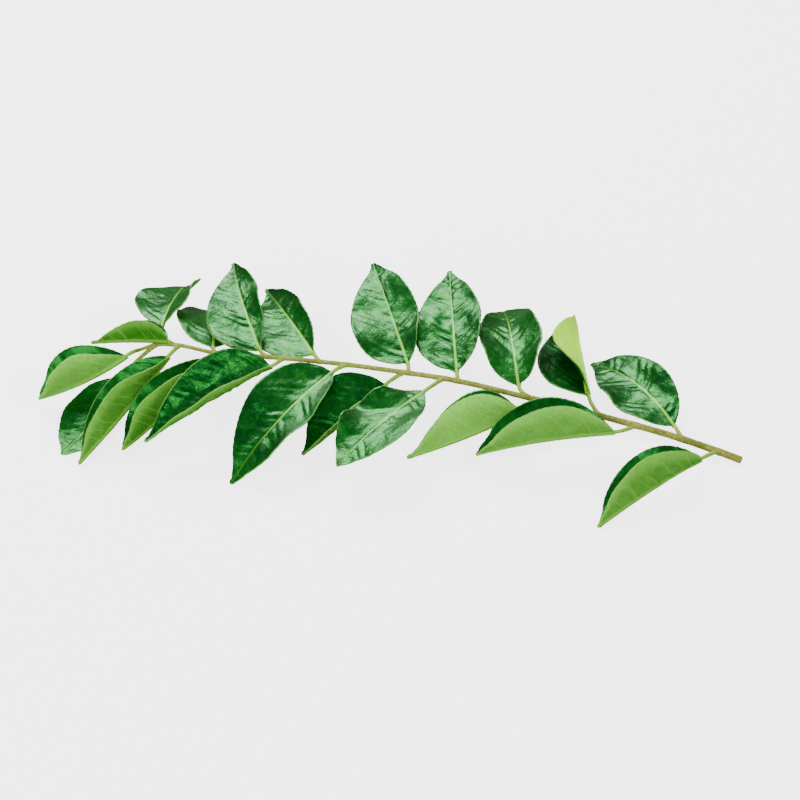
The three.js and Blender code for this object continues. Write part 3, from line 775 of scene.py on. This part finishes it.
def downyRachis():
    # A young green-brown rind under short down: matt, specked with paler breathing pores, which are
    # drawn larger than real ones, so that they show, and greener where a stalk meets its leaflet.
    material, tree = newMaterial("downy rachis rind")
    place = addNode(tree, "TexCoord", {}).outputs["Object"]
    tone = addNode(tree, "Attribute", {}, attribute_name="tone").outputs["Fac"]
    speck = addNode(tree, "TexNoise", {
        "Vector": place, "Scale": 1 / (rind["speckSize"] * mm), "Detail": 3, "Roughness": 0.7})
    broad = addNode(tree, "TexNoise", {
        "Vector": place, "Scale": 1 / (rind["patchSize"] * mm), "Detail": 2, "Roughness": 0.5})
    patches = addNode(tree, "MapRange", [broad, 0.35, 0.65, 0, 1], **smoothStep)
    pores = addNode(tree, "MapRange", [speck, 0.52, 0.66, 0, rind["speckStrength"]], **smoothStep)
    pits = addNode(tree, "MapRange", [speck, 0.3, 0.44, rind["speckStrength"], 0], **smoothStep)
    colour = hexColour(rind["brown"])
    for mask, tint in ((patches, "light"), (tone, "green"), (pores, "pore"), (pits, "dark")):
        colour = addNode(tree, "Mix", [mask, colour, hexColour(rind[tint])], **inColour)
    shader = addNode(tree, "BsdfPrincipled", {
        "Base Color": colour, "Roughness": 0.72, "IOR": 1.4, "Specular IOR Level": 0.3,
        "Normal": addNode(tree, "Bump", {
            "Height": speck, "Strength": rind["bumpStrength"], "Distance": rind["bumpDepth"] * mm}),
        "Sheen Weight": 0.08, "Sheen Roughness": 0.5, "Sheen Tint": hexColour("#e6e6a0")})
    addNode(tree, "OutputMaterial", {"Surface": shader})
    return material


bladeMaterials = [waxyLeafTop(), mattLeafUnderside(), leafMargin()]
for name, leaf in leaflets.items():
    blade = makeBlade(name, leaf, bladeMaterials)
    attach(blade, "root")
    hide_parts(name)
print("blades made:", len(leaflets))

rachis = makeStem(downyRachis())
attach(rachis, "root")
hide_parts("stem")
print("stem and stalks made")

# Places round the sprig are an azimuth, 0 in front of it, and a height angle, both in degrees.
studio = {
    "target": (0, 0, 8), "floorSize": 6000, "floorColour": "#c8c8c7", "mirroredFloor": "#33602c",
    "floorGlow": 3.2, "worldColour": "#ffffff", "horizonColour": "#4a7a42", "horizonFades": (0.0, 0.7),
    "worldStrength": 0.3, "cameraAzimuth": 14, "cameraHeight": 38, "cameraDistance": 620,
    "pixelsPerMm": 3.6, "imagePixels": 800, "sensorWidth": 36, "softboxDistance": 900,
}
softboxes = {
    "window behind": dict(azimuth=210, height=46, sides=(500, 430), watts=12.8),
    "skylight": dict(azimuth=78, height=46, sides=(240, 280), watts=4.6),
    "front fill": dict(azimuth=-20, height=30, sides=(700, 500), watts=10),
}


def hangRound(obj, azimuth, height, distance):
    # places an object round the sprig, looking at the target
    a, e = radians(azimuth), radians(height)
    away = Vector((sin(a) * cos(e), -cos(a) * cos(e), sin(e)))
    target = Vector(studio["target"]) - Vector((*footprintMiddle, 0))
    turned = (-away).to_track_quat("-Z", "Y").to_matrix().to_4x4()
    obj.matrix_world = Matrix.Translation((target + away * distance) * mm) @ turned
    bpy.context.scene.collection.objects.link(obj)


def whitePaper():
    # Matt paper, overexposed: the camera sees its glow and the leaves don't, and their gloss finds
    # it a deep green, as among the other leaves of a bunch.
    material, tree = newMaterial("white paper sweep")
    path = addNode(tree, "LightPath", {}).outputs
    paper, mirrored = hexColour(studio["floorColour"]), hexColour(studio["mirroredFloor"])
    shader = addNode(tree, "BsdfPrincipled", {
        "Base Color": addNode(tree, "Mix", [path["Is Glossy Ray"], paper, mirrored], **inColour),
        "Roughness": 0.9, "Emission Color": (1, 1, 1, 1),
        "Emission Strength": addNode(tree, "Math", [path["Is Camera Ray"], studio["floorGlow"]],
                                     operation="MULTIPLY")})
    addNode(tree, "OutputMaterial", {"Surface": shader})
    return material


def addFloor():
    bm = bmesh.new()
    bmesh.ops.create_grid(bm, x_segments=1, y_segments=1, size=studio["floorSize"] / 2 * mm)
    mesh = bpy.data.meshes.new("floor")
    bm.to_mesh(mesh)
    bm.free()
    mesh.materials.append(whitePaper())
    floor = bpy.data.objects.new("floor", mesh)
    bpy.context.scene.collection.objects.link(floor)
    floor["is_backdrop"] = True


def addWorld():
    # dim and green at the horizon, so that what leans back is not hazed over by it
    world = bpy.data.worlds.new("studio")
    world.use_nodes = True
    tree = world.node_tree
    tree.nodes.clear()
    direction = addNode(tree, "TexCoord", {}).outputs["Generated"]
    height = addNode(tree, "SeparateXYZ", [direction]).outputs["Z"]
    rising = addNode(tree, "MapRange", [height, *studio["horizonFades"], 0, 1], **smoothStep)
    horizon, overhead = hexColour(studio["horizonColour"]), hexColour(studio["worldColour"])
    background = addNode(tree, "Background", {
        "Color": addNode(tree, "Mix", [rising, horizon, overhead], **inColour),
        "Strength": studio["worldStrength"]})
    addNode(tree, "OutputWorld", {"Surface": background})
    bpy.context.scene.world = world


def addSoftbox(name, box):
    light = bpy.data.lights.new(name, "AREA")
    light.shape = "RECTANGLE"
    light.size, light.size_y = (side * mm for side in box["sides"])
    light.energy = box["watts"]
    hangRound(bpy.data.objects.new(name, light), box["azimuth"], box["height"], studio["softboxDistance"])


def addCamera():
    camera = bpy.data.cameras.new("camera")
    focalPixels = studio["pixelsPerMm"] * studio["cameraDistance"]
    camera.sensor_width = studio["sensorWidth"]
    camera.lens = studio["sensorWidth"] * focalPixels / studio["imagePixels"]
    camera.clip_start = 0.01
    holder = bpy.data.objects.new("camera", camera)
    hangRound(holder, studio["cameraAzimuth"], studio["cameraHeight"], studio["cameraDistance"])
    bpy.context.scene.camera = holder


addFloor()
addWorld()
for name, box in softboxes.items():
    addSoftbox(name, box)
addCamera()
print("studio and camera set")

boxes = {"cad": cadBox, "visual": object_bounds()}
{k: [list(v) for v in box] for k, box in boxes.items()}
